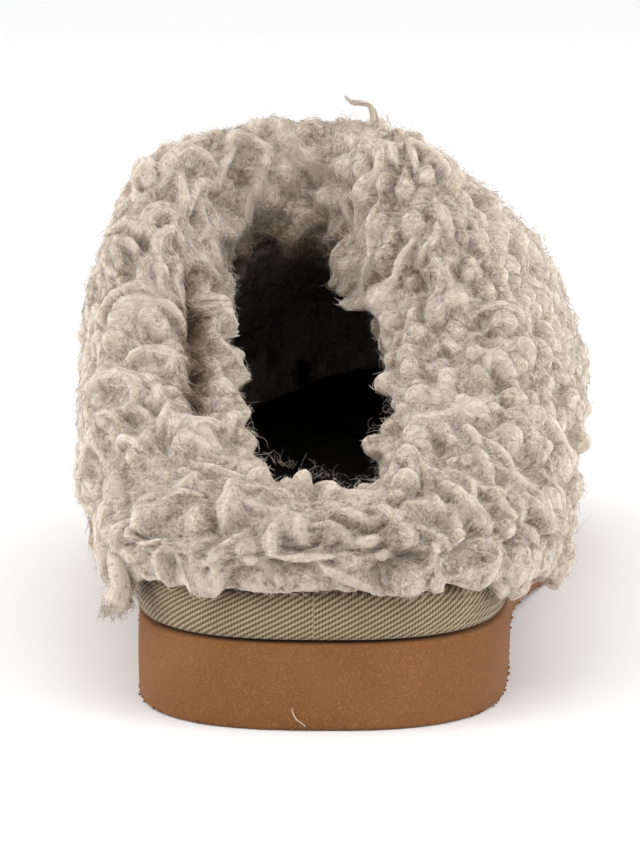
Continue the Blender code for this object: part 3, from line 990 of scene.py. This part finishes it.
def relief(points, normals, locks):
    """How high the locks stand over each point, with the top lock's place in the map, way and bend."""
    tree = near_tree(points)
    height, place = np.full(len(points), -9.0), np.full((len(points), 2), np.nan)
    way, bend = np.zeros((len(points), 3)), np.zeros(len(points))
    samples = []
    for lock in locks:
        steps = 3 * (lock["flat"].shape[1] - 1) + 1
        flat = dense(lock["flat"], steps)
        ahead = unit(np.gradient(flat, axis=1))
        tint, coil = (np.repeat(lock[name][:, None], steps, axis=1) for name in ("tint", "coil"))
        # light: painted shade deep inside the slipper
        shade = dense(lock["shade"], steps) * lock["light"][:, None]
        full, blunt = (np.full(tint.shape, lock[name]) for name in ("full", "blunt"))
        values = [dense(lock["height"], steps), dense(lock["spread"], steps), tint, shade, coil, full, blunt]
        samples.append(np.concatenate([flat, ahead, np.stack(values, axis=-1)], axis=-1).reshape(-1, 13))
    samples = np.concatenate(samples)
    found = [tree.find_range(s[:3], s[7]) for s in samples.tolist()]
    sample = np.repeat(np.arange(len(samples)), [len(f) for f in found])
    point = np.array([hit[1] for f in found for hit in f])
    away = np.array([hit[2] for f in found for hit in f])
    middle, ahead = samples[sample, :3], samples[sample, 3:6]
    tall, spread, tint, shade, coil, full, blunt = samples[sample, 6:].T
    share = np.clip(away / spread, 0, 1)
    offset = points[point] - middle
    aside, onward = (offset * np.cross(normals[point], ahead)).sum(-1), (offset * ahead).sum(-1)
    turns = np.abs(coil) * share + np.sign(coil) * np.arctan2(aside, onward) / (2 * math.pi)
    groove = 0.16 * MM * (coil != 0) * (1 + np.cos(2 * math.pi * turns)) * smooth_step(0.05, 0.35, share)
    top = tall - full * spread * (1 - (1 - share**2) ** blunt) - groove
    crosswise = MAP_WIDTH * (0.5 + 0.5 * np.clip(aside / spread, -1, 1))
    u = tint + np.where(coil == 0, crosswise, 0.06 * np.mod(turns, 1))
    seen = np.clip(normals[point] @ BEHIND, 0, 1)
    inner = smooth_step(-5 * MM, 25 * MM, points[point, 0])
    # Darker at each lock's edge, most on the back and the inner side: painted shade in the gaps, partly the
    # browner roots there
    v = shade * (1 - (0.40 + (0.08 + 0.14 * inner) * seen) * share**2.2)
    out = across(offset + 1e-9, normals[point])
    around = np.sign(coil)[:, None] * np.cross(normals[point], out) + 0.3 * out
    order = np.argsort(top)
    point, coiled = point[order], (coil != 0)[order]
    height[point] = top[order]
    place[point] = np.column_stack([u, v])[order]
    way[point] = np.where(coiled[:, None], around[order], ahead[order])
    bend[point] = np.where(coiled, (np.sign(coil) / np.maximum(away, 0.8 * MM))[order], 0)
    return height, place, way, bend


def smoothed(values, tri, rounds):
    """Values at a mesh's points, each drawn half way to the mean of its neighbours."""
    pairs = np.concatenate([tri[:, [0, 1]], tri[:, [1, 2]], tri[:, [2, 0]]])
    count = np.bincount(pairs[:, 0], minlength=len(values))
    for _ in range(rounds):
        total = np.bincount(pairs[:, 0], weights=values[pairs[:, 1]], minlength=len(values))
        values = 0.5 * values + 0.5 * total / count
    return values


def fleece_piece(made, material):
    """Gives a piece of the fleece its material, hides the upper's solid, and hangs the piece on the root
    body.
    """
    made.data.materials.append(material)
    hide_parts("upper")
    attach(made, "root")


def make_bed(material, locks):
    """The fleece's body: the upper's shape with the locks in relief, in a rear and a front piece.

    Hands back what its hairs need: a tree of the bed's places, and the heights, map, ways, bends and
    droop there.
    """
    def longest(both):
        points, inside = both[:, :3], both[:, 6]
        front = smooth_step(-20 * MM, 30 * MM, points[:, 1])
        coarse = 1 + 1.6 * front + 0.25 * inside + 2.5 * deep(points, inside)
        return np.where(woolly(points, 3 * MM), BED_EDGE * coarse, 12 * MM)

    inside = PELT.faces_inside(PELT.points, PELT.normals) & woolly(PELT.points)
    both, tri = refine(np.column_stack([PELT.points, PELT.normals, inside]), PELT.tri, longest)
    points, normals, inside = both[:, :3], unit(both[:, 3:6]), both[:, 6]
    out, above = past_edge(points)
    grown = woolly(points)
    _, stand = tuft_at(points)
    height, place, way, bend = relief(points, normals, locks)
    fold, light = fold_depth_and_painted_light(points)
    lumps = noise(points, 2.2 * MM, 22) + 0.6 * noise(points, 1.2 * MM, 23)
    ground = np.maximum(stand - BED_DEPTH - OUTER_TRIM * (1 - inside), LOWEST_GROUND)
    ground = ground * smooth_step(-0.5 * MM, 5 * MM, above) + 0.5 * MM * lumps
    height = np.where(grown, np.maximum(height, ground) + 0.25 * MM * lumps - fold, -0.4 * MM)
    height = smoothed(height, tri, 1)
    # Ground between the locks: a little darker where it faces back, and near black deep inside the slipper:
    # painted shade
    shade = (0.46 - 0.05 * np.clip(normals @ BEHIND, 0, 1)) * (1 - deep(points, inside))
    u = 0.5 + 0.35 * noise(points, 9 * MM, 25)
    place = np.where(np.isnan(place), np.column_stack([u, shade]), place)
    # Painted shade in the grooves and under the throat's lip, painted light over the throat
    place[:, 1] *= light
    made = points + normals * height[:, None]
    made = clear_of_sole(np.column_stack([smoothed(made[:, k], tri, 2) for k in range(3)]))
    beyond, _ = past_edge(made)
    hung = smooth_step(0.8 * MM, 4 * MM, out) * smooth_step(6 * MM, 0, above)
    ragged = 0.6 * noise(points, 7 * MM, 27) + 0.5 * noise(points, 3.2 * MM, 28)
    droop = DROOP * hung * (1 + ragged)
    for middle, reach, drop in LOBES:
        far = np.linalg.norm(points - np.array(middle) * MM, axis=1) / (reach * MM)
        droop += drop * MM * np.exp(-far**2)
    droop *= smooth_step(1.2 * MM, 4.5 * MM, beyond)
    made[:, 2] -= np.where(grown, droop, 0)
    rear = points[tri].mean(axis=1)[:, 1] < BED_SPLIT
    for name, here in (("fleece_bed_rear", tri[rear]), ("fleece_bed_front", tri[~rear])):
        used, index = np.unique(here, return_inverse=True)
        index = index.reshape(-1, 3)
        fleece_piece(mesh_object(name, made[used], [index], [place[used][index]]), material)
    return near_tree(points), height, place, way, bend, np.where(grown, droop, 0)


def hair_roots(tries):
    """Random roots of hairs, most of them where the slipper's back and rim are seen."""
    points, normals = PELT.scatter(tries)
    keep = woolly(points)
    points, normals = points[keep], normals[keep]
    inside = PELT.faces_inside(points, normals)
    dark = deep(points, inside)
    seen = np.clip(normals @ BEHIND, 0, 1)
    front = smooth_step(-30 * MM, 25 * MM, points[:, 1]) * ~inside
    wanted = (0.25 + 0.75 * seen) * (1 - 0.5 * front) * (dark < 0.5)
    keep = RANDOM.random(len(points)) < wanted
    return points[keep], normals[keep], inside[keep]


def hairs(bed, tries, steps, length, lift, thick, stray, curl):
    """Tubes of fine hairs that lie along the locks and lift off towards their tips.

    length, lift and thick are (least, most) in mm. stray is how far the hairs turn away from their
    lock, and curl how much they bend.
    """
    tree, heights, places, ways, bends, droops = bed
    points, normals, inside = hair_roots(tries)
    count = len(points)
    q = np.linspace(0, 1, steps)[None]
    root = np.array([tree.find(p)[1] for p in points.tolist()])
    on_lock = np.abs(ways[root]).sum(axis=1, keepdims=True) > 0
    own = np.where(on_lock, ways[root], flow(points, normals, inside))
    heading = across(own + RANDOM.normal(0, stray, (count, 3)) + 1e-6, normals)
    long = between(*length, count) * MM
    wound = np.clip(bends[root][:, None] * long, -3.2, 3.2)
    turning = (wound + RANDOM.normal(0, curl, (count, 1))) * q
    turning = turning + between(0.3, 0.9, count) * np.sin(6 * q + between(0, 6.3, count))
    flat, normal = crawl(points, normals, heading, turning, long[:, 0])
    kept = whole(flat)
    flat, normal, root = flat[kept], normal[kept], root[kept]
    count = len(flat)
    near = np.array([tree.find(p)[1] for p in flat.reshape(-1, 3).tolist()]).reshape(count, steps)
    under = heights[near]
    under[:, 1:-1] = (under[:, :-2] + 2 * under[:, 1:-1] + under[:, 2:]) / 4
    rise = (-0.35 + (between(*lift, count) + 0.35) * q**1.2) * MM
    radius = between(*thick, count) * MM * (1 - 0.55 * q**2)
    # Hairs take the bed's shade at their root, painted shade and light included, and grow paler to the tip
    shade = places[root, 1][:, None] * (1.30 + 0.30 * q + RANDOM.normal(0, 0.12, (count, 1)))
    shade = np.clip(shade + 0.02, 0.02, 0.97)
    tint = np.clip(places[root, 0] - MAP_WIDTH / 2 + RANDOM.normal(0, 0.05, count), 0.0, 1 - MAP_WIDTH)
    paths = flat + normal * (under + rise)[..., None]
    paths[..., 2] -= droops[near]
    paths = clear_of_sole(paths.reshape(-1, 3)).reshape(paths.shape)
    return (paths, radius, tint, shade), region_of(points[kept], inside[kept])


def region_of(points, inside):
    """The name of the piece of fleece that a root belongs to."""
    x, y = points[:, 0], points[:, 1]
    names = np.where(x < 0, "fleece_outer_side", "fleece_inner_side")
    names = np.where(y < -88 * MM, "fleece_heel", names)
    names = np.where(y > 10 * MM, "fleece_instep", names)
    names = np.where(y > 70 * MM, "fleece_toe", names)
    return np.where(inside, "fleece_lining", names)


def strand(path, thick, shade):
    """One listed lock as a tube, from places in mm, with its thickness at each."""
    at = np.linspace(0, 1, len(path))
    fine = np.linspace(0, 1, 4 * (len(path) - 1) + 1)
    line = np.column_stack([np.interp(fine, at, np.array(path)[:, k]) for k in range(3)]) * MM
    for k in range(3):
        line[1:-1] = (line[:-2] + 2 * line[1:-1] + line[2:]) / 4
    radius = np.interp(fine, at, thick) * MM
    return tubes(line[None], radius[None], 8, np.array([0.4]), np.full((1, len(fine)), shade))


def tuft_hair(path, thick, count):
    """Tubes of fine hairs that run down a listed tuft and curl at their tips, in mm."""
    path, thick = np.array(path), np.array(thick)
    at = RANDOM.uniform(0.1, 1.0, count) * (len(path) - 1)
    middle = np.column_stack([np.interp(at, np.arange(len(path)), path[:, k]) for k in range(3)])
    out = unit(RANDOM.normal(0, 1, (count, 3)) * [1, 1, 0.4])
    roots = middle + out * np.interp(at, np.arange(len(path)), thick)[:, None] * 0.9
    q = np.linspace(0, 1, 6)[None]
    down = unit(np.array([-0.1, 0, -1.0]) + RANDOM.normal(0, 0.5, (count, 3)))
    side = np.cross(down, out)
    bend = between(-1.6, 1.6, count) * q
    steps = down[:, None] * np.cos(bend)[..., None] + side[:, None] * np.sin(bend)[..., None]
    steps = steps + out[:, None] * (between(0.0, 0.5, count) - 0.5 * q)[..., None]
    paths = (roots[:, None] + np.cumsum(steps, axis=1) * (between(1.2, 3.4, count) / 6)[..., None]) * MM
    radius = between(0.05, 0.09, count) * MM * (1 - 0.5 * q**2)
    shade = np.clip(0.72 + 0.2 * q + RANDOM.normal(0, 0.1, (count, 1)), 0.3, 0.97)
    return tubes(paths, radius, 3, between(0.2, 0.6, count)[:, 0], shade)


def rim_wisps(count):
    """Thin curved hairs that stand up round the back of the opening."""
    line = np.array(RIM_WISPS) * MM
    at = RANDOM.uniform(0, len(line) - 1, count)
    roots = np.column_stack([np.interp(at, np.arange(len(line)), line[:, k]) for k in range(3)])
    roots, normals = PELT.nearest(roots + RANDOM.normal(0, 2 * MM, (count, 3)))
    q = np.linspace(0, 1, 7)[None]
    rise = unit(normals + [0, 0, 0.3] + RANDOM.normal(0, 0.8, (count, 3)))
    side = across(RANDOM.normal(0, 1, (count, 3)), rise)
    turn = between(0.8, 3.0, count) * q
    steps = rise[:, None] * np.cos(turn)[..., None] + side[:, None] * np.sin(turn)[..., None]
    paths = roots[:, None] + np.cumsum(steps, axis=1) * (between(1.5, 3.8, count) * MM / 7)[..., None]
    radius = between(0.010, 0.020, count) * MM * (1 - 0.5 * q**2)
    return tubes(paths, radius, 3, between(0.2, 0.6, count)[:, 0], np.full((count, 7), 0.7))


def make_fleece(material, hair_material):
    bed = make_bed(material, make_locks())
    groups = [hairs(bed, *kind) for kind in HAIR_KINDS]
    for name in sorted(set(np.concatenate([places for _, places in groups]))):
        made = []
        for tube, places in groups:
            paths, radius, tint, shade = (values[places == name] for values in tube)
            if len(paths):
                made.append(tubes(paths, radius, 3, tint, shade))
        fleece_piece(hair_object(name, made), hair_material)
    curl, thick = np.array(STRAY_CURL[0]), STRAY_CURL[1]
    parts = [strand(curl, thick, 0.60)]
    for _ in range(STRAY_STRANDS):
        apart = RANDOM.normal(0, 0.38, 3) * np.linspace(1.2, 0.9, len(curl))[:, None]
        parts.append(strand(curl + apart + RANDOM.normal(0, 0.12, curl.shape), STRAND_THICK, 0.7))
    fleece_piece(hair_object("stray_curl", parts), hair_material)
    fleece_piece(hair_object("rim_wisps", [rim_wisps(200)]), hair_material)
    fleece_piece(hair_object("hanging_tuft", [strand(*HANGING_TUFT, 0.62)]), material)
    fleece_piece(hair_object("hanging_tuft_hair", [tuft_hair(*HANGING_TUFT, 620)]), hair_material)
    fleece_piece(hair_object("stray_fibre", [strand(*STRAY_FIBRE, 0.95)]), hair_material)


# Insole

def make_insole(material):
    """The fleece footbed, with a lumpy pile on its top."""
    count = 360
    ring, _ = closed_curve(EDGE, count)
    deck = ring[:, 3] + DECK_EDGE + GAP
    pile_top = deck + INSOLE_THICK
    rings = [ring_at(ring, -INSOLE_INSET, deck), ring_at(ring, -INSOLE_INSET, pile_top - 2.5 * MM)]
    rings.append(ring_at(ring, -INSOLE_INSET - 1.2 * MM, pile_top - 0.6 * MM))
    top = ring_at(ring, -INSOLE_INSET - 3 * MM, pile_top)
    middle = (top + top[np.mod(-np.arange(count), count)]) / 2
    for share in np.linspace(0, 0.97, 22):
        rings.append(top + (middle - top) * share)
    pile = np.concatenate(rings[3:])
    lumps = noise(pile, 6 * MM, 51) + 0.6 * noise(pile, 2.6 * MM, 52)
    pile[:, 2] += 0.7 * MM * (lumps - 1.4)
    points = np.concatenate([*rings[:3], pile])
    low_quads, low_ends = ladder_faces(0, count, flip=True)
    top_quads, top_ends = ladder_faces((len(rings) - 1) * count, count, flip=False)
    faces = [ring_faces(len(rings), count, closed=False), low_quads, top_quads, low_ends, top_ends]
    # Darker towards the toe, to near black inside the slipper: painted shade
    shade = 0.45 + 0.08 * noise(points, 3 * MM, 53) - 0.60 * smooth_step(-50 * MM, -5 * MM, points[:, 1])
    place = np.column_stack([0.4 + 0.3 * noise(points, 5 * MM, 54), np.clip(shade, 0.01, 0.9)])
    bed = mesh_object("fleece_footbed", points, faces, [place[f] for f in faces])
    bed.data.materials.append(material)
    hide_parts("insole")
    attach(bed, "root")


# Stage

def plain_material(name, colour, roughness):
    made, shader, _, _ = nodes_of(name, roughness)
    shader.inputs["Base Color"].default_value = (*colour, 1)
    return made


def make_stage():
    bpy.ops.mesh.primitive_circle_add(vertices=96, radius=14, fill_type="NGON", location=(0, 0, 0))
    floor = bpy.context.object
    floor.name = "floor"
    floor.data.materials.append(plain_material("pale_floor", (0.93, 0.93, 0.93), 0.9))
    world = bpy.data.worlds.new("studio")
    bpy.context.scene.world = world
    world.use_nodes = True
    background = world.node_tree.nodes["Background"]
    background.inputs["Color"].default_value = (1, 1, 1, 1)
    place = world.node_tree.nodes.new("ShaderNodeTexCoord")
    parts = world.node_tree.nodes.new("ShaderNodeSeparateXYZ")
    strength = world.node_tree.nodes.new("ShaderNodeMapRange")
    world.node_tree.links.new(place.outputs["Generated"], parts.inputs[0])
    world.node_tree.links.new(parts.outputs["Y"], strength.inputs["Value"])
    strength.inputs["From Min"].default_value = -1
    strength.inputs["From Max"].default_value = 0
    strength.inputs["To Min"].default_value = 0.82
    strength.inputs["To Max"].default_value = 0.98
    world.node_tree.links.new(strength.outputs["Result"], background.inputs["Strength"])
    for name, place, size, power in LAMPS:
        light = bpy.data.lights.new(name, "AREA")
        light.energy = power
        light.size = size
        lamp = bpy.data.objects.new(name, light)
        bpy.context.scene.collection.objects.link(lamp)
        lamp.location = place
        lamp.rotation_euler = (Vector((0, -0.05, 0.05)) - Vector(place)).to_track_quat("-Z", "Y").to_euler()
        lamp.visible_camera = False


def make_camera():
    a, e = math.radians(AZIMUTH), math.radians(ELEVATION)
    back = Vector((math.sin(a) * math.cos(e), -math.cos(a) * math.cos(e), math.sin(e)))
    data = bpy.data.cameras.new("camera")
    data.lens = LENS
    camera = bpy.data.objects.new("camera", data)
    bpy.context.scene.collection.objects.link(camera)
    camera.location = Vector(AIM) + back * DISTANCE
    camera.rotation_euler = (-back).to_track_quat("-Z", "Y").to_euler()
    bpy.context.scene.camera = camera
    bpy.context.scene.view_settings.view_transform = "Standard"


def main():
    make_camera()
    make_stage()
    make_outsole(foam_material())
    make_tape(twill_material())
    make_fleece(
        fleece_material("curly_fleece", **FLEECE_COLOURS, bump=0.16 * MM, soft=0.8),
        fleece_material("fleece_hair", **FLEECE_COLOURS, bump=0.02 * MM, soft=0.0),
    )
    make_insole(fleece_material("insole_fleece", **INSOLE_COLOURS, bump=0.5 * MM, soft=0.3))


main()
